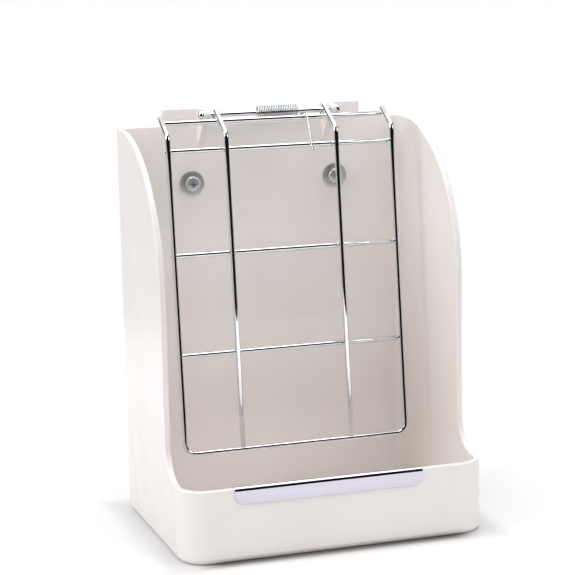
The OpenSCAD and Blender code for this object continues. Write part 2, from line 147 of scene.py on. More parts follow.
# Where the painted shadow lies: in front of the box, fading out towards its sides, within about 9 mm of its
# front
PAINTED_SHADOW_FRONT, PAINTED_SHADOW_SIDES, PAINTED_SHADOW_DEPTH = (-0.056, -0.066), (-0.004, -0.024), (0.009, -0.001)


def colour(hex_code):
    """An sRGB hex colour as linear RGBA."""
    parts = [int(hex_code[i : i + 2], 16) / 255 for i in (1, 3, 5)]
    linear = [c / 12.92 if c <= 0.04045 else ((c + 0.055) / 1.055) ** 2.4 for c in parts]
    return (*linear, 1)


def add(tree, kind, inputs=None, **settings):
    """Adds a node to tree. An input is a value, or another node's output to link."""
    made = tree.nodes.new(kind)
    for name, value in settings.items():
        setattr(made, name, value)
    for name, value in (inputs or {}).items():
        if isinstance(value, bpy.types.NodeSocket):
            tree.links.new(value, made.inputs[name])
        else:
            made.inputs[name].default_value = value
    return made


def ranged(tree, value, start, end, low=0.0, high=1.0, smooth=True):
    """Takes value from the range start to end into low to high, and holds it there."""
    return add(
        tree,
        "ShaderNodeMapRange",
        {"Value": value, "From Min": start, "From Max": end, "To Min": low, "To Max": high},
        interpolation_type="SMOOTHSTEP" if smooth else "LINEAR",
    ).outputs["Result"]


def maths(tree, operation, a, b=0.0):
    return add(tree, "ShaderNodeMath", {0: a, 1: b}, operation=operation).outputs["Value"]


def mixed_colour(tree, factor, a, b):
    return add(tree, "ShaderNodeMix", {"Factor": factor, "A": a, "B": b}, data_type="RGBA").outputs[2]


def drifting_tone(tree, noise, low, high):
    """A colour that runs between two, as noise goes from one (position, hex colour) to the other."""
    tone = add(tree, "ShaderNodeValToRGB", {"Fac": noise.outputs["Fac"]})
    for stop, (position, hex_code) in zip(tone.color_ramp.elements, (low, high)):
        stop.position = position
        stop.color = colour(hex_code)
    return tone.outputs["Color"]


def new_material(name):
    material = bpy.data.materials.new(name)
    material.use_nodes = True
    material.node_tree.nodes.clear()
    return material, material.node_tree


def per_size(size_mm):
    """Noise scale at which one blotch is size_mm across, on coordinates in metres."""
    return 1 / (size_mm * MM)


def moulded_abs():
    """ABS, injection moulded against a polished tool: a warm white with a clear gloss.
    The gloss is broken only by a faint orange peel, and by the tool's polish, which varies slowly."""
    material, tree = new_material("moulded_abs")
    place = add(tree, "ShaderNodeTexCoord").outputs["Object"]
    # The melt cools unevenly, so the white drifts a little over a hand's width
    drift = add(tree, "ShaderNodeTexNoise", {"Vector": place, "Scale": per_size(70), "Detail": 2.0})
    tone = drifting_tone(tree, drift, (0.35, "#f4ede7"), (0.65, "#f7f1ec"))
    polish = add(tree, "ShaderNodeTexNoise", {"Vector": place, "Scale": per_size(18), "Detail": 3.0})
    rough = ranged(tree, polish.outputs["Fac"], 0.3, 0.7, 0.2, 0.27, smooth=False)
    peel = add(tree, "ShaderNodeTexNoise", {"Vector": place, "Scale": per_size(2.2), "Detail": 1.0})
    bump = add(tree, "ShaderNodeBump", {"Height": peel.outputs["Fac"], "Strength": 0.06, "Distance": 0.0003})
    shader = add(
        tree,
        "ShaderNodeBsdfPrincipled",
        {
            "Base Color": tone,
            "Roughness": rough,
            "Normal": bump.outputs["Normal"],
            "IOR": 1.54,
        },
    )
    add(tree, "ShaderNodeOutputMaterial", {"Surface": shader.outputs["BSDF"]})
    return material


def bright_metal(name, shades, blotch_mm, roughness, grain_mm, grain, stretch=(1, 1, 1)):
    """A bare or plated metal whose colour and roughness drift between two values, over a fine grain."""
    material, tree = new_material(name)
    place = add(tree, "ShaderNodeTexCoord").outputs["Object"]
    drawn = add(tree, "ShaderNodeMapping", {"Vector": place, "Scale": stretch})
    along = drawn.outputs["Vector"]
    drift = add(tree, "ShaderNodeTexNoise", {"Vector": along, "Scale": per_size(blotch_mm), "Detail": 3.0})
    tone = drifting_tone(tree, drift, (0.3, shades[0]), (0.7, shades[1]))
    fine = add(tree, "ShaderNodeTexNoise", {"Vector": along, "Scale": per_size(grain_mm), "Detail": 2.0})
    polish = ranged(tree, fine.outputs["Fac"], 0.3, 0.7, *roughness, smooth=False)
    bump = add(tree, "ShaderNodeBump", {"Height": fine.outputs["Fac"], "Strength": grain, "Distance": 0.0001})
    shader = add(
        tree,
        "ShaderNodeBsdfPrincipled",
        {
            "Base Color": tone,
            "Metallic": 1.0,
            "Roughness": polish,
            "Normal": bump.outputs["Normal"],
        },
    )
    add(tree, "ShaderNodeOutputMaterial", {"Surface": shader.outputs["BSDF"]})
    return material


def chrome_plate():
    """Bright chromium over nickel on drawn steel wire: a cold mirror with faint waves from the drawing."""
    return bright_metal(
        "chrome_plate", ("#dadde0", "#e9ebec"), blotch_mm=9, roughness=(0.03, 0.07), grain_mm=1.2, grain=0.08
    )


def drawn_spring_steel():
    """Hard-drawn spring wire, left bright: greyer than chrome, and less sharp from the die's marks."""
    return bright_metal(
        "drawn_spring_steel",
        ("#c0c2c4", "#d6d8d9"),
        blotch_mm=5,
        roughness=(0.07, 0.13),
        grain_mm=0.5,
        grain=0.1,
    )


def rolled_stainless():
    """Stainless sheet, cold rolled bright: a near mirror with long faint lines along the rolling."""
    return bright_metal(
        "rolled_stainless",
        ("#c6c2cd", "#dcd7e1"),
        blotch_mm=9,
        roughness=(0.06, 0.14),
        grain_mm=0.5,
        grain=0.08,
        stretch=(0.03, 1, 1),
    )


def zinc_plate():
    """Bright zinc on stamped and cast steel, passivated blue: satin, with a fine crystalline mottle."""
    return bright_metal(
        "zinc_plate", ("#c9cbce", "#d8d8d7"), blotch_mm=4, roughness=(0.38, 0.48), grain_mm=0.4, grain=0.12
    )


def verts_in(geometry):
    return [g for g in geometry if isinstance(g, bmesh.types.BMVert)]


def once(items):
    """The items in their order, each only once."""
    return list(dict.fromkeys(items))


def rim_in(geometry):
    return [g for g in geometry if isinstance(g, bmesh.types.BMEdge) and g.is_boundary]


def round_edges(shape, radius, segments, sharper_than=math.radians(50)):
    """Rounds each edge whose two faces meet at more than the given angle."""
    hard = [e for e in shape.edges if len(e.link_faces) == 2 and e.calc_face_angle() > sharper_than]
    bmesh.ops.bevel(
        shape,
        geom=hard,
        offset=radius,
        offset_type="OFFSET",
        segments=segments,
        profile=0.5,
        affect="EDGES",
        clamp_overlap=True,
        material=-1,
    )


def close_rims(shape):
    """Puts a flat face on each open rim."""
    open_edges = [e for e in shape.edges if e.is_boundary]
    while open_edges:
        loop, reached = [], [open_edges[0]]
        while reached:
            edge = reached.pop()
            if edge not in loop:
                loop.append(edge)
                reached += [e for v in edge.verts for e in v.link_edges if e.is_boundary]
        bmesh.ops.edgeloop_fill(shape, edges=loop)
        open_edges = [e for e in open_edges if e not in loop]


def to_piece(name, shape, material):
    """Turns a shape in millimetres into an object in metres, shaded smooth up to its hard edges."""
    bmesh.ops.recalc_face_normals(shape, faces=shape.faces)
    bmesh.ops.scale(shape, vec=(MM, MM, MM), verts=shape.verts)
    mark_shading(shape)
    mesh = bpy.data.meshes.new(name)
    shape.to_mesh(mesh)
    shape.free()
    piece = bpy.data.objects.new(name, mesh)
    bpy.context.scene.collection.objects.link(piece)
    mesh.materials.append(material)
    return piece


def mark_shading(shape, hard=math.radians(38)):
    for face in shape.faces:
        face.smooth = True
    for edge in shape.edges:
        edge.smooth = len(edge.link_faces) == 2 and edge.calc_face_angle() < hard


def settle(piece):
    """Applies the piece's modifiers."""
    bpy.context.view_layer.update()
    evaluated = piece.evaluated_get(bpy.context.evaluated_depsgraph_get())
    finished = bpy.data.meshes.new_from_object(evaluated)
    piece.modifiers.clear()
    piece.data = finished


def combine(piece, tool, operation):
    """Joins tool to the piece or cuts it out, by operation, and removes the tool."""
    boolean = piece.modifiers.new("combine", "BOOLEAN")
    boolean.object = tool
    boolean.operation = operation
    boolean.solver = "EXACT"
    settle(piece)
    bpy.data.objects.remove(tool)


def reshade(piece):
    """Marks hard edges anew after shapes were combined, and lets the large faces lead the shading."""
    shape = bmesh.new()
    shape.from_mesh(piece.data)
    bmesh.ops.remove_doubles(shape, verts=shape.verts, dist=0.002 * MM)
    mark_shading(shape)
    shape.to_mesh(piece.data)
    shape.free()
    weighted = piece.modifiers.new("weighted", "WEIGHTED_NORMAL")
    weighted.keep_sharp = True


def round_piece(piece, radius, segments):
    """Rounds a piece's hard edges."""
    shape = bmesh.new()
    shape.from_mesh(piece.data)
    round_edges(shape, radius * MM, segments)
    shape.to_mesh(piece.data)
    shape.free()


def cylinder(at, along, radius, sides=48):
    """A closed cylinder that starts at a point and runs along a vector."""
    shape = bmesh.new()
    ring = open_ring(shape, at, along, radius, sides)
    run(shape, ring, along)
    close_rims(shape)
    return shape


def open_ring(shape, at, facing, radius, sides):
    """An open ring of edges round the point at, square to the direction facing."""
    turned = facing.to_track_quat("Z", "Y").to_matrix().to_4x4()
    place = Matrix.Translation(at) @ turned
    made = bmesh.ops.create_circle(shape, segments=sides, radius=radius, matrix=place)
    return once(e for v in made["verts"] for e in v.link_edges)


def run(shape, rim, along):
    """Draws an open rim out straight. Returns the new rim."""
    made = bmesh.ops.extrude_edge_only(shape, edges=rim)["geom"]
    bmesh.ops.translate(shape, vec=along, verts=verts_in(made))
    return rim_in(made)


def turn(shape, rim, centre, axis, angle, steps, climb=None):
    """Draws an open rim round an axis, and on along climb if it is given. Returns the new rim."""
    made = bmesh.ops.spin(
        shape,
        geom=rim + once(v for e in rim for v in e.verts),
        cent=centre,
        axis=axis,
        dvec=(climb or Vector()) / steps,
        angle=angle,
        steps=steps,
    )
    return rim_in(made["geom_last"])


def face_anew(shape, rim, old, new):
    """Turns a rim about its own middle, from facing old to facing new."""
    points = once(v for e in rim for v in e.verts)
    middle = sum((v.co for v in points), Vector()) / len(points)
    bmesh.ops.rotate(shape, verts=points, cent=middle, matrix=old.rotation_difference(new).to_matrix())


def bent_wire(shape, corners, bend_radii, radius, sides):
    """A round wire along the straight lines between corners, bent round each inner one.
    Returns its last rim."""
    at = corners[0]
    rim = open_ring(shape, at, corners[1] - at, radius, sides)
    for before, corner, after, bend_r in zip(corners, corners[1:], corners[2:], bend_radii):
        into, out = (corner - before).normalized(), (after - corner).normalized()
        angle = into.angle(out)
        set_back = bend_r * math.tan(angle / 2)
        rim = run(shape, rim, corner - into * set_back - at)
        axis = into.cross(out).normalized()
        centre = corner - into * set_back + axis.cross(into) * bend_r
        steps = max(4, math.ceil(math.degrees(angle) / DEGREES_PER_BEND_STEP))
        rim = turn(shape, rim, centre, axis, angle, steps)
        at = corner + out * set_back
    return run(shape, rim, corners[-1] - at)


def lathe(profile, axis_at, axis, steps=64):
    """A closed profile of (radius, height) points turned round an axis that starts at axis_at."""
    shape = bmesh.new()
    points = [shape.verts.new((r, 0, h)) for r, h in profile]
    for a, b in zip(points, points[1:]):
        shape.edges.new((a, b))
    bmesh.ops.spin(
        shape,
        geom=shape.verts[:] + shape.edges[:],
        cent=(0, 0, 0),
        axis=(0, 0, 1),
        angle=math.tau,
        steps=steps,
        use_merge=True,
    )
    bmesh.ops.remove_doubles(shape, verts=shape.verts, dist=0.001)
    close_rims(shape)
    bmesh.ops.recalc_face_normals(shape, faces=shape.faces)
    turned = axis.to_track_quat("Z", "Y").to_matrix().to_4x4()
    bmesh.ops.transform(shape, matrix=Matrix.Translation(axis_at) @ turned, verts=shape.verts)
    return shape


def arc_points(centre, radius, start, end, steps):
    """Points round a flat centre, from angle start to angle end in degrees."""
    turns = [math.radians(start + (end - start) * i / steps) for i in range(steps + 1)]
    return [(centre[0] + radius * math.cos(a), centre[1] + radius * math.sin(a)) for a in turns]


def lip_rise(y):
    """Height of the lip where it starts to climb to the side wall."""
    past = y - (PANEL_Y - FLARE_R)
    return LIP_TOP + (FLARE_R - math.sqrt(FLARE_R**2 - past**2) if past > 0 else 0)


def side_outline(front, rear):
    """Outline of a side wall's flat part, as (y, z) points from its rear top corner round to its foot."""
    upper = (PANEL_Y + SIDE_ARC_D, SIDE_TOP - UPPER_ARC_R)
    margin = SIDE_ARC_D - UPPER_ARC_R
    front_r = (SIDE_ARC_D**2 + (SIDE_ARC_H - UPPER_ARC_R) ** 2 - UPPER_ARC_R**2) / (2 * margin)
    lower = (PANEL_Y + front_r, SIDE_TOP - SIDE_ARC_H)
    meet = math.degrees(math.atan2(upper[1] - lower[1], upper[0] - lower[0]))
    flare = (PANEL_Y - FLARE_R, LIP_TOP + FLARE_R)
    flare_end = -math.degrees(math.acos((front - flare[0]) / FLARE_R))
    return [
        (rear, SIDE_TOP),
        *arc_points(upper, UPPER_ARC_R, 90, meet, steps=24),
        *arc_points(lower, front_r, meet, 180, steps=20)[1:],
        *arc_points(flare, FLARE_R, 0, flare_end, steps=12),
    ]


def rear_outline():
    """Upper outline of the rear wall's right half, as (x, z) points from its corner to its middle."""
    ear_top = AXLE.z + LUG_NOSE_R
    f, r = EAR_FILLET_R, EAR_CORNER_R
    return [
        *arc_points((EAR_FAR_X + f, SIDE_TOP + f), f, 270, 180, steps=4),
        *arc_points((EAR_FAR_X - r, ear_top - r), r, 0, 90, steps=5),
        *arc_points((EAR_NEAR_X + r, ear_top - r), r, 90, 180, steps=5),
        *arc_points((EAR_NEAR_X - f, SIDE_TOP + f), f, 0, -90, steps=4),
        (0, SIDE_TOP),
    ]


def box_sheet():
    """The middle surface of the box's walls and floor."""
    shape = bmesh.new()
    half = WALL / 2
    side_x, foot = HALF_WIDTH - half, half
    front_y, rear_y = FRONT_Y + FRONT_CORNER_R, REAR_Y - REAR_CORNER_R
    outline = side_outline(front_y, rear_y)
    side = [shape.verts.new((side_x, y, z)) for y, z in [*outline, (front_y, foot), (rear_y, foot)]]
    shape.faces.new(side)
    front_edge = shape.edges.get((side[-3], side[-2]))
    rear_edge = shape.edges.get((side[-1], side[0]))
    front_pivot = (HALF_WIDTH - FRONT_CORNER_R, front_y, 0)
    front_edge = turn(shape, [front_edge], front_pivot, Z, -math.pi / 2, steps=18)
    for vert in shape.verts:
        if vert.co.y < front_y - half and vert.co.z > LIP_TOP / 2:
            vert.co.z = lip_rise(vert.co.y)
    run(shape, front_edge, X * -front_pivot[0])
    rear_pivot = (HALF_WIDTH - REAR_CORNER_R, rear_y, 0)
    rear_edge = turn(shape, [rear_edge], rear_pivot, Z, math.pi / 2, steps=8)
    top, bottom = sorted(rear_edge[0].verts, key=lambda v: -v.co.z)
    upper = [shape.verts.new((x, REAR_Y - half, z)) for x, z in rear_outline()]
    shape.faces.new([top, *upper, shape.verts.new((0, REAR_Y - half, foot)), bottom])
    half_box = shape.verts[:] + shape.edges[:] + shape.faces[:]
    bmesh.ops.mirror(shape, geom=half_box, axis="X", merge_dist=0.01)
    floor_rim = [e for e in shape.edges if all(abs(v.co.z - foot) < 0.01 for v in e.verts)]
    bmesh.ops.edgeloop_fill(shape, edges=floor_rim)
    bmesh.ops.recalc_face_normals(shape, faces=shape.faces)
    bmesh.ops.bevel(
        shape,
        geom=floor_rim,
        offset=BASE_EDGE_R - half,
        segments=6,
        profile=0.5,
        affect="EDGES",
        material=-1,
    )
    return shape


def lug(sign):
    """A round-nosed plate that carries the axle, set into the rear wall."""
    root = Vector((REAR_Y - WALL / 2 - AXLE.y, -LUG_DROP))
    reach = root.length
    tangent = math.degrees(math.atan2(root.y, root.x) - math.acos(LUG_NOSE_R / reach))
    nose = arc_points((0, 0), LUG_NOSE_R, 90, tangent + 360, steps=16)
    outline = [(root.x, LUG_NOSE_R), *nose, tuple(root)]
    shape = bmesh.new()
    near = sign * LUG_X
    plate = shape.faces.new([shape.verts.new((near, AXLE.y + y, AXLE.z + z)) for y, z in outline])
    made = bmesh.ops.extrude_face_region(shape, geom=[plate])["geom"]
    bmesh.ops.translate(shape, vec=X * (sign * LUG_T), verts=verts_in(made))
    bmesh.ops.recalc_face_normals(shape, faces=shape.faces)
    round_edges(shape, LUG_ROUND, segments=3)
    return shape


def moulded_box(material):
    """The box with its ears, its two lugs and the holes for the axle and the bolts."""
    box = to_piece("moulded_box", box_sheet(), material)
    shell = box.modifiers.new("wall", "SOLIDIFY")
    shell.thickness = WALL * MM
    shell.offset = 0
    shell.use_even_offset = True
    shell.use_quality_normals = True
    settle(box)
    round_piece(box, RIM_ROUND, segments=5)
    for sign in (-1, 1):
        combine(box, to_piece("lug", lug(sign), material), "UNION")
    bore = cylinder(AXLE - X * HALF_WIDTH, X * 2 * HALF_WIDTH, LOOP_R - WIRE_R)
    combine(box, to_piece("bore", bore, material), "DIFFERENCE")
    for sign in (-1, 1):
        at = Vector((sign * BOLT_X, REAR_Y - 2 * WALL, BOLT_Z))
        hole = to_piece("hole", cylinder(at, Y * 3 * WALL, WASHER_HOLE_R), material)
        combine(box, hole, "DIFFERENCE")
    reshade(box)
    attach(box, "box")
    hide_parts("feeder_body")


def guard_strip(material):
    """A strip of sheet folded over the lip, its outer leaf with round lower corners."""
    shape = bmesh.new()
    half = GUARD_L / 2
    leaf_y = FRONT_Y - GUARD_GAP - GUARD_T / 2
    back_y = FRONT_Y + WALL + GUARD_GAP + GUARD_T / 2
    top = LIP_TOP + GUARD_GAP + GUARD_T / 2
    low = LIP_TOP + GUARD_GAP + GUARD_T - GUARD_FRONT_H
    r = GUARD_CORNER_R
    fold_r = (back_y - leaf_y) / 2
    leaf_top = top - fold_r
    outline = [
        (half, leaf_top),
        *arc_points((half - r, low + r), r, 0, -90, steps=8),
        *arc_points((-half + r, low + r), r, -90, -180, steps=8),
        (-half, leaf_top),
    ]
    leaf = [shape.verts.new((GUARD_X + x, leaf_y, z)) for x, z in outline]
    shape.faces.new(leaf)
    fold = [shape.edges.get((leaf[-1], leaf[0]))]
    fold = turn(shape, fold, (0, leaf_y + fold_r, leaf_top), X, -math.pi, steps=20)
    run(shape, fold, Z * (fold_r + GUARD_T / 2 - GUARD_REAR_H))
    strip = to_piece("guard_strip", shape, material)
    sheet = strip.modifiers.new("sheet", "SOLIDIFY")
    sheet.thickness = GUARD_T * MM
    sheet.offset = 0
    settle(strip)
    round_piece(strip, GUARD_ROUND, segments=3)
    reshade(strip)
    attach(strip, "box")
    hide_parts("front_guard_strip")


# The grid's side view: where its bend, its hangers and its crossbars lie
BEND = AXLE + Vector((0, -BEND_REACH, -BEND_DROP))
TO_BEND = math.atan2(-BEND_DROP, -BEND_REACH)
HANGER_SLOPE = TO_BEND - math.acos(LOOP_R / math.hypot(BEND_REACH, BEND_DROP)) - math.pi / 2
UP_HANGER = Vector((0, math.cos(HANGER_SLOPE), math.sin(HANGER_SLOPE)))
BEHIND_HANGER = Vector((0, UP_HANGER.z, -UP_HANGER.y))
HANGER_L = math.sqrt(BEND_REACH**2 + BEND_DROP**2 - LOOP_R**2)
DOWN_GRID = Vector((0, -math.sin(GRID_TILT), -math.cos(GRID_TILT)))
BEHIND_GRID = Vector((0, -DOWN_GRID.z, DOWN_GRID.y))
GRID_L = (BEND.z - BOTTOM_Z) / math.cos(GRID_TILT)
HINGE_BAR = BEND + HINGE_BAR_RUN * UP_HANGER + BAR_BEHIND * BEHIND_HANGER
GRID_BARS = [BEND + drop * DOWN_GRID + BAR_BEHIND * BEHIND_GRID for drop in BAR_DROPS]


def at_x(x, point):
    return Vector((x, point.y, point.z))


def outer_wire(material):
    """One wire, bent down from its top ends, across the bottom and up again."""
    shape = bmesh.new()
    end = BEND + (HINGE_BAR_RUN + WIRE_END_RUN) * UP_HANGER
    foot = BEND + GRID_L * DOWN_GRID
    left = [at_x(-OUTER_X, p) for p in (end, BEND, foot)]
    right = [at_x(OUTER_X, p) for p in (foot, BEND, end)]
    bent_wire(shape, left + right, (BEND_R, CORNER_R, CORNER_R, BEND_R), WIRE_R, WIRE_SIDES)
    close_rims(shape)
    round_edges(shape, WIRE_ROUND, segments=2)
    wire = to_piece("outer_wire", shape, material)
    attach(wire, "grid")
    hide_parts("grid_outer_wire")


def upright_wire(side, sign, material):
    """A middle wire, welded to the bottom wire and looped round the axle at its top."""
    shape = bmesh.new()
    x = sign * UPRIGHT_X
    foot = BEND + (GRID_L - WIRE_R + WELD_SINK) * DOWN_GRID
    corners = [at_x(x, p) for p in (foot, BEND, BEND + HANGER_L * UP_HANGER)]
    rim = bent_wire(shape, corners, (BEND_R,), WIRE_R, WIRE_SIDES)
    turn(shape, rim, AXLE, X, LOOP_WRAP, steps=30)
    close_rims(shape)
    round_edges(shape, WIRE_ROUND, segments=2)
    wire = to_piece("upright_wire_" + side, shape, material)
    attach(wire, "grid")
    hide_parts("grid_upright_" + side)


def weld(shape, at, behind):
    """The bead that a spot weld squeezes out between two crossing wires."""
    turned = behind.to_track_quat("Z", "X").to_matrix().to_4x4()
    place = Matrix.Translation(at) @ turned @ Matrix.Diagonal((BEAD_R, BEAD_R, BEAD_H, 1))
    bmesh.ops.create_icosphere(shape, subdivisions=3, radius=1, matrix=place)


def cross_wire(name, node, at, behind, material):
    """A cross wire with the welds that hold it to the four wires in front of it."""
    shape = bmesh.new()
    bent_wire(shape, [at_x(-OUTER_X, at), at_x(OUTER_X, at)], (), WIRE_R, WIRE_SIDES)
    close_rims(shape)
    round_edges(shape, WIRE_ROUND, segments=2)
    for x in (-OUTER_X, -UPRIGHT_X, UPRIGHT_X, OUTER_X):
        weld(shape, at_x(x, at - behind * (BAR_BEHIND / 2)), behind)
    wire = to_piece(name, shape, material)
    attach(wire, "grid")
    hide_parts(node)


def tangent_angle(point, radius, side):
    """Angle on a circle round the axle at which a line from point touches it."""
    return math.atan2(point.z, point.y) + side * math.acos(radius / math.hypot(point.y, point.z))


def round_axle(radius, angle):
    return Vector((0, radius * math.cos(angle), radius * math.sin(angle)))


def spring(material):
    """A torsion spring: one leg lies on the rear wall, the other presses on the grid's top cross wires."""
    shape = bmesh.new()
    down = (GRID_BARS[0] - HINGE_BAR).normalized()
    out = Vector((0, down.z, -down.y)) * (WIRE_R + SPRING_R + LEG_GAP)
    corner = HINGE_BAR - AXLE + out - LEG_HEAD * down
    tip = GRID_BARS[0] - AXLE + out + LEG_TAIL * down
    start, end = tangent_angle(REST_TIP, COIL_R, -1), tangent_angle(corner, COIL_R, 1)
    sweep = math.tau * COIL_TURNS + (start - end) % math.tau
    length = COIL_PITCH * sweep / math.tau
    coil_x = COIL_X - length / 2
    at = AXLE + at_x(coil_x, REST_TIP)
    first = AXLE + at_x(coil_x, round_axle(COIL_R, start))
    rim = run(shape, open_ring(shape, at, first - at, SPRING_R, SPRING_SIDES), first - at)
    rim = turn(shape, rim, AXLE, X, -sweep, round(RINGS_PER_TURN * sweep / math.tau), X * length)
    coil_end = AXLE + at_x(coil_x + length, round_axle(COIL_R, end))
    leg_corner = AXLE + at_x(coil_x + length + LEG_STEP, corner)
    leg_tip = AXLE + at_x(coil_x + length + LEG_STEP - LEG_LEAN, tip)
    leaving = Vector((0, math.sin(end), -math.cos(end)))
    into, away = (leg_corner - coil_end).normalized(), (leg_tip - leg_corner).normalized()
    face_anew(shape, rim, leaving, into)
    angle = into.angle(away)
    set_back = LEG_BEND_R * math.tan(angle / 2)
    rim = run(shape, rim, leg_corner - into * set_back - coil_end)
    axis = into.cross(away).normalized()
    centre = leg_corner - into * set_back + axis.cross(into) * LEG_BEND_R
    rim = turn(shape, rim, centre, axis, angle, steps=10)
    run(shape, rim, leg_tip - leg_corner - away * set_back)
    close_rims(shape)
    round_edges(shape, SPRING_ROUND, segments=2)
    piece = to_piece("spring", shape, material)
    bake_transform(piece)
    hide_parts("torsion_spring")


def axle(material):
    """The rod, its ends chamfered."""
    profile = [
        (0, -AXLE_HALF),
        (AXLE_R - AXLE_CHAMFER, -AXLE_HALF),
        (AXLE_R, AXLE_CHAMFER - AXLE_HALF),
        (AXLE_R, AXLE_HALF - AXLE_CHAMFER),
        (AXLE_R - AXLE_CHAMFER, AXLE_HALF),
        (0, AXLE_HALF),
    ]
    rod = to_piece("axle", lathe(profile, AXLE, X), material)
    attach(rod, "box")
    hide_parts("axle_rod")


def end_cap(side, sign, material):
    """A pressed cap, pushed over the rod's end: a flared foot and a domed nose."""
    hole, waist = AXLE_R + LOOP_CLEAR, CAP_R - CAP_WAIST
    profile = [
        (0, CAP_BITE),
        (hole, CAP_BITE),
        (hole, 0),
        (CAP_R, 0),
        (CAP_R, CAP_FOOT_H),
        (waist, CAP_FOOT_H + CAP_WAIST),
        *arc_points((waist - CAP_DOME_R, CAP_L - CAP_DOME_R), CAP_DOME_R, 0, 90, steps=6),
        (0, CAP_L),
    ]
    shape = lathe(profile, AXLE + X * (sign * CAP_X), X * sign)
    cap = to_piece("end_cap_" + side, shape, material)
    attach(cap, "box")
    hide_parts("axle_cap_" + side)


def ring_washer(name, node, body, outer_r, thick, at, material):
    """A stamped washer with rounded edges, its axis along Y."""
    profile = [(WASHER_HOLE_R, 0), (outer_r, 0), (outer_r, thick), (WASHER_HOLE_R, thick), (WASHER_HOLE_R, 0)]
    shape = lathe(profile, at, Y)
    round_edges(shape, WASHER_ROUND, segments=3)
    washer = to_piece(name, shape, material)
    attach(washer, body)
    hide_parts(node)


def thread(at, length):
    """A closed rod with a rolled screw thread, along Y from at."""
    shape = bmesh.new()
    root = BOLT_R - THREAD_DEPTH
    ridge = [
        (root, 0),
        (root, THREAD_RISE),
        (BOLT_R, THREAD_CREST),
        (BOLT_R, THREAD_FALL),
        (root, THREAD_ROOT),
        (root, THREAD_PITCH),
    ]
    points = [shape.verts.new((r, 0, h - THREAD_PITCH)) for r, h in ridge]
    for a, b in zip(points, points[1:]):
        shape.edges.new((a, b))
    turns = math.ceil(length / THREAD_PITCH) + 1
    steps = THREAD_STEPS * turns
    bmesh.ops.spin(
        shape,
        geom=shape.verts[:] + shape.edges[:],
        cent=(0, 0, 0),
        axis=(0, 0, 1),
        dvec=(0, 0, THREAD_PITCH * turns / steps),
        angle=math.tau * turns,
        steps=steps,
    )
    bmesh.ops.remove_doubles(shape, verts=shape.verts, dist=0.002)
    for height, normal in ((0, -Z), (length, Z)):
        bmesh.ops.bisect_plane(
            shape,
            geom=shape.verts[:] + shape.edges[:] + shape.faces[:],
            dist=0.0001,
            plane_co=(0, 0, height),
            plane_no=normal,
            clear_outer=True,
        )
    close_rims(shape)
    bmesh.ops.recalc_face_normals(shape, faces=shape.faces)
    turned = Y.to_track_quat("Z", "Y").to_matrix().to_4x4()
    bmesh.ops.transform(shape, matrix=Matrix.Translation(at) @ turned, verts=shape.verts)
    return shape


def recess_slot(at, width, height):
    """One of the two slots that make a bolt's cross recess, tapered towards its floor."""
    shape = bmesh.new()
    corners = bmesh.ops.create_cube(shape, size=1)["verts"]
    bmesh.ops.scale(shape, vec=(width, 2 * RECESS_DEPTH, height), verts=corners)
    floor_corners = [v for v in corners if v.co.y > 0]
    bmesh.ops.scale(shape, vec=(RECESS_TAPER, 1, RECESS_TAPER), verts=floor_corners)
    bmesh.ops.translate(shape, vec=at, verts=corners)
    return shape


def bolt(side, sign, material):
    """A pan-head bolt, its shank threaded all the way."""
    seat = Vector((sign * BOLT_X, REAR_Y - WALL - HEAD_WASHER_T, BOLT_Z))
    crown = arc_points((HEAD_R - HEAD_CROWN_R, HEAD_H - HEAD_CROWN_R), HEAD_CROWN_R, 0, 75, steps=7)
    profile = [(0, 0), (HEAD_R - HEAD_FOOT_R, 0), (HEAD_R, HEAD_FOOT_R), *crown, (0, HEAD_H)]
    head = to_piece("bolt_" + side, lathe(profile, seat, -Y), material)
    for width, height in ((RECESS_L, RECESS_W), (RECESS_W, RECESS_L)):
        slot = recess_slot(seat - Y * HEAD_H, width, height)
        combine(head, to_piece("slot", slot, material), "DIFFERENCE")
    rod = thread(seat - Y * SHANK_SINK, BOLT_L + SHANK_SINK)
    shank = to_piece("shank", rod, material)
    combine(head, shank, "UNION")
    reshade(head)
    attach(head, "box")
    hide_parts("mounting_bolt_" + side)


def wing_web():
    """Half of a wing nut's flat outline, as (x, height) points: a round tip and its web into the hub."""
    tip = Vector((WING_REACH, WING_LIFT + 2 * WING_TIP_R))
    low = Vector((NUT_HUB_R / 2, WING_LIFT)) - tip
    high = Vector((NUT_HUB_R / 2, NUT_HUB_H)) - tip
    start = math.degrees(math.atan2(low.y, low.x) + math.acos(WING_TIP_R / low.length))
    end = math.degrees(math.atan2(high.y, high.x) - math.acos(WING_TIP_R / high.length)) + 360
    return [tuple(low + tip), *arc_points(tip, WING_TIP_R, start, end, steps=24), tuple(high + tip)]


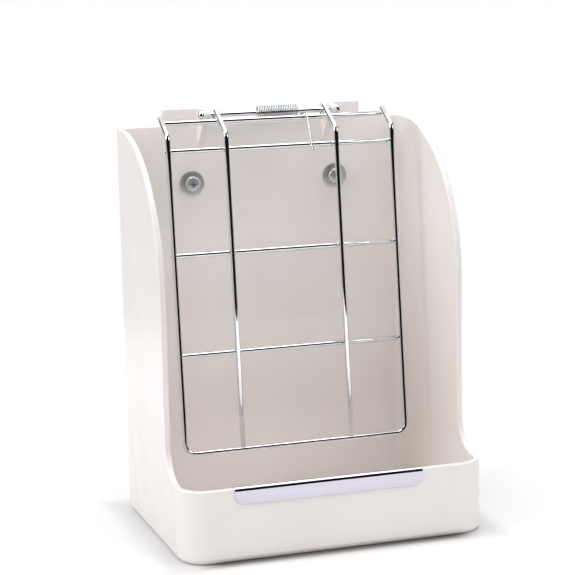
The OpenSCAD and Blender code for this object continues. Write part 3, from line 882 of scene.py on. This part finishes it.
def wing_nut(side, sign, material):
    """A cast wing nut: hub and wings run into each other in soft fillets."""
    at = Vector((sign * BOLT_X, NUT_Y, BOLT_Z))
    hub = [(0, 0), (NUT_HUB_R, 0), (NUT_HUB_R, NUT_FOOT_H), (NUT_TOP_R, NUT_HUB_H), (0, NUT_HUB_H)]
    nut = to_piece("cast_wing_nut_" + side, lathe(hub, at, Y), material)
    for way in (-1, 1):
        shape = bmesh.new()
        web = shape.faces.new([shape.verts.new((way * x, h, -WING_T / 2)) for x, h in wing_web()])
        made = bmesh.ops.extrude_face_region(shape, geom=[web])["geom"]
        bmesh.ops.translate(shape, vec=Z * WING_T, verts=verts_in(made))
        bmesh.ops.recalc_face_normals(shape, faces=shape.faces)
        round_edges(shape, WING_ROUND, segments=3)
        bmesh.ops.translate(shape, vec=at, verts=shape.verts)
        combine(nut, to_piece("wing", shape, material), "UNION")
    cast = nut.modifiers.new("cast", "REMESH")
    cast.mode = "VOXEL"
    cast.voxel_size = CAST_GRAIN * MM
    soft = nut.modifiers.new("soft", "SMOOTH")
    soft.factor = 0.5
    soft.iterations = CAST_SOFTENING
    settle(nut)
    bore = cylinder(at - Y * WALL, Y * (NUT_HUB_H + 4 * WING_TIP_R), BOLT_R + THREAD_CLEAR)
    combine(nut, to_piece("bore", bore, material), "DIFFERENCE")
    reshade(nut)
    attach(nut, side + "_nut")
    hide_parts("wing_nut_" + side)


def camera():
    """Stands where the photograph was taken from: about a metre away, to the left and a little above."""
    ahead = Vector((math.sin(YAW) * math.cos(PITCH), math.cos(YAW) * math.cos(PITCH), -math.sin(PITCH)))
    level = Vector((math.cos(YAW), -math.sin(YAW), 0))
    above = level.cross(ahead)
    right = math.cos(ROLL) * level + math.sin(ROLL) * above
    up = math.cos(ROLL) * above - math.sin(ROLL) * level
    data = bpy.data.cameras.new("camera")
    data.lens = LENS
    data.sensor_width = SENSOR
    data.clip_start, data.clip_end = 0.05, 20
    made = bpy.data.objects.new("camera", data)
    turned = Matrix((right, up, -ahead)).transposed().to_4x4()
    made.matrix_world = Matrix.Translation(CAMERA_AT * MM) @ turned
    bpy.context.scene.collection.objects.link(made)
    bpy.context.scene.camera = made


def softbox(name, at, size, power, mirrored):
    """A square lamp, turned towards the middle of the box."""
    data = bpy.data.lights.new(name, "AREA")
    data.shape = "SQUARE"
    data.size = size
    data.energy = power
    data.color = LAMP_TINT
    made = bpy.data.objects.new(name, data)
    made.visible_glossy = mirrored
    made.location = at
    made.rotation_euler = (LAMPS_AIM_AT - Vector(at)).to_track_quat("-Z", "Y").to_euler()
    bpy.context.scene.collection.objects.link(made)


def room():
    """A white room, even and a little dim as a light, and dark where it opens as a reflection."""
    world = bpy.data.worlds.new("room")
    bpy.context.scene.world = world
    world.use_nodes = True
    tree = world.node_tree
    tree.nodes.clear()
    way = add(tree, "ShaderNodeTexCoord").outputs["Generated"]
    # Bright metal needs something dark to mirror, so in reflections there is a wide doorway in front,
    # up to about 60 degrees high, and three narrow gaps, at the right and at the rear
    axes = add(tree, "ShaderNodeSeparateXYZ", {"Vector": way})
    doorway = ranged(tree, axes.outputs["Y"], *DOORWAY)
    dark = maths(tree, "MULTIPLY", doorway, ranged(tree, axes.outputs["Z"], *LINTEL))
    for towards, depth in GAPS:
        facing = {0: way, 1: tuple(Vector(towards).normalized())}
        turned = add(tree, "ShaderNodeVectorMath", facing, operation="DOT_PRODUCT").outputs["Value"]
        dark = maths(tree, "MAXIMUM", ranged(tree, turned, *GAP_EDGE, high=depth), dark)
    mirrored = mixed_colour(tree, dark, colour(WHITE), colour(ROOM_DARK))
    path = add(tree, "ShaderNodeLightPath").outputs
    seen = mixed_colour(tree, path["Is Glossy Ray"], AMBIENT, mirrored)
    shown = mixed_colour(tree, path["Is Camera Ray"], seen, colour(WHITE))
    light = add(tree, "ShaderNodeBackground", {"Color": shown, "Strength": 1.0})
    add(tree, "ShaderNodeOutputWorld", {"Surface": light.outputs["Background"]})


def tabletop():
    """A round white table that fades into the room and takes the box's shadow, with a painted shadow along
    the box's front.
    """
    shape = bmesh.new()
    bmesh.ops.create_circle(shape, cap_ends=True, segments=96, radius=TABLE_R)
    bmesh.ops.translate(shape, vec=Z * -TABLE_DROP, verts=shape.verts)
    material, tree = new_material("white_tabletop")
    # The glow grows towards the rim, so that the table has no visible edge
    place = add(tree, "ShaderNodeTexCoord").outputs["Object"]
    reach = add(tree, "ShaderNodeVectorMath", {0: place}, operation="LENGTH").outputs["Value"]
    rise = ranged(tree, reach, *GLOW_REACH, *GLOW, smooth=False)
    # Close to the box there is none. Along the box's front the table's colour is darkened instead: a painted
    # shadow, which deepens the line of shadow that the box stands in
    axes = add(tree, "ShaderNodeSeparateXYZ", {"Vector": place}).outputs
    past_x, past_y = (
        maths(tree, "SUBTRACT", maths(tree, "ABSOLUTE", axes[axis]), half * MM)
        for axis, half in (("X", HALF_WIDTH), ("Y", REAR_Y))
    )
    clear = ranged(tree, maths(tree, "MAXIMUM", past_x, past_y), *GLOW_STARTS)
    strength = maths(tree, "MULTIPLY", rise, clear)
    in_front = maths(
        tree, "MULTIPLY", ranged(tree, axes["Y"], *PAINTED_SHADOW_FRONT), ranged(tree, past_x, *PAINTED_SHADOW_SIDES)
    )
    shaded = maths(tree, "MULTIPLY", in_front, ranged(tree, past_y, *PAINTED_SHADOW_DEPTH))
    tone = mixed_colour(tree, shaded, colour(TABLE_TONE), colour(PAINTED_SHADOW_TONE))
    matt = add(tree, "ShaderNodeBsdfDiffuse", {"Color": tone}).outputs["BSDF"]
    glow = add(tree, "ShaderNodeEmission", {"Color": colour(WHITE), "Strength": strength}).outputs["Emission"]
    both = add(tree, "ShaderNodeAddShader", {0: matt, 1: glow}).outputs["Shader"]
    # The glow is seen and mirrored, and lights nothing
    path = add(tree, "ShaderNodeLightPath").outputs
    direct = maths(tree, "MAXIMUM", path["Is Camera Ray"], path["Is Glossy Ray"])
    surface = add(tree, "ShaderNodeMixShader", {0: direct, 1: matt, 2: both}).outputs["Shader"]
    add(tree, "ShaderNodeOutputMaterial", {"Surface": surface})
    to_piece("tabletop", shape, material)


camera()
room()
for lamp in LAMPS:
    softbox(*lamp)
tabletop()

plastic = moulded_abs()
chrome = chrome_plate()
zinc = zinc_plate()

moulded_box(plastic)
guard_strip(rolled_stainless())
axle(chrome)
outer_wire(chrome)
cross_wire("hinge_wire", "hinge_crossbar", HINGE_BAR, BEHIND_HANGER, chrome)
for place, bar in zip(("upper", "middle", "lower"), GRID_BARS):
    cross_wire(place + "_wire", place + "_crossbar", bar, BEHIND_GRID, chrome)
spring(drawn_spring_steel())
for side, sign in (("left", -1), ("right", 1)):
    upright_wire(side, sign, chrome)
    end_cap(side, sign, chrome)
    bolt(side, sign, zinc)
    small, large = "small_washer_" + side, "large_washer_" + side
    seat = Vector((sign * BOLT_X, REAR_Y - WALL - HEAD_WASHER_T, BOLT_Z))
    ring_washer(small, "head_washer_" + side, "box", HEAD_WASHER_R, HEAD_WASHER_T, seat, zinc)
    seat = Vector((sign * BOLT_X, REAR_Y + CLAMP_GAP, BOLT_Z))
    clamp = side + "_clamp"
    ring_washer(large, "clamp_washer_" + side, clamp, CLAMP_WASHER_R, CLAMP_WASHER_T, seat, zinc)
    wing_nut(side, sign, zinc)

bpy.context.scene.view_settings.view_transform = "Standard"
